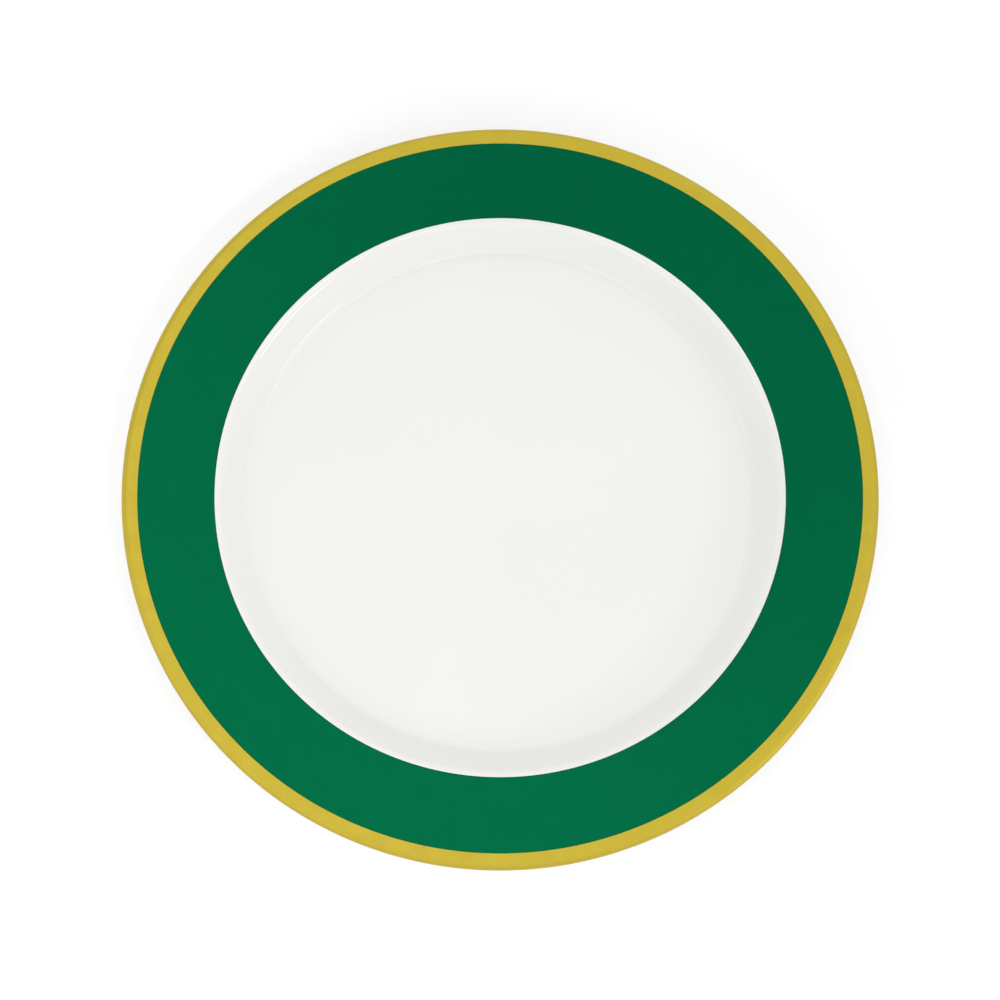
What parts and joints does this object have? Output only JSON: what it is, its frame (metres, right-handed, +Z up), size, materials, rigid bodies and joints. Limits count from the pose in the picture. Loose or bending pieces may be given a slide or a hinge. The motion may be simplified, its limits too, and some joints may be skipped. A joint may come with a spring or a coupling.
{
  "type": "dinner plate",
  "caption": "Round china dinner plate: flat well, short steep wall, broad sloping rim with a wide green band, rounded gold lip, and a foot ring with a bare tread.",
  "frame": {"origin": "on the plate's axis, in the plane of the foot ring's tread that it stands on", "axes": "+Z up along the plate's axis, out of the well; the plate is round, so +X and +Y are any two level directions at a right angle"},
  "size_m": [0.2602, 0.26, 0.0228],
  "materials": {
    "fired_clay": "matte",
    "white_glaze": "gloss",
    "back_glaze": "gloss",
    "green_enamel": "satin",
    "burnished_gold": "satin"
  },
  "bodies": {
    "root": {"porcelain_body": "fired_clay", "glaze_coat": "white_glaze", "foot_recess_glaze": "back_glaze", "green_enamel_band": "green_enamel", "gold_lip_band": "burnished_gold"}
  },
  "joints": []
}
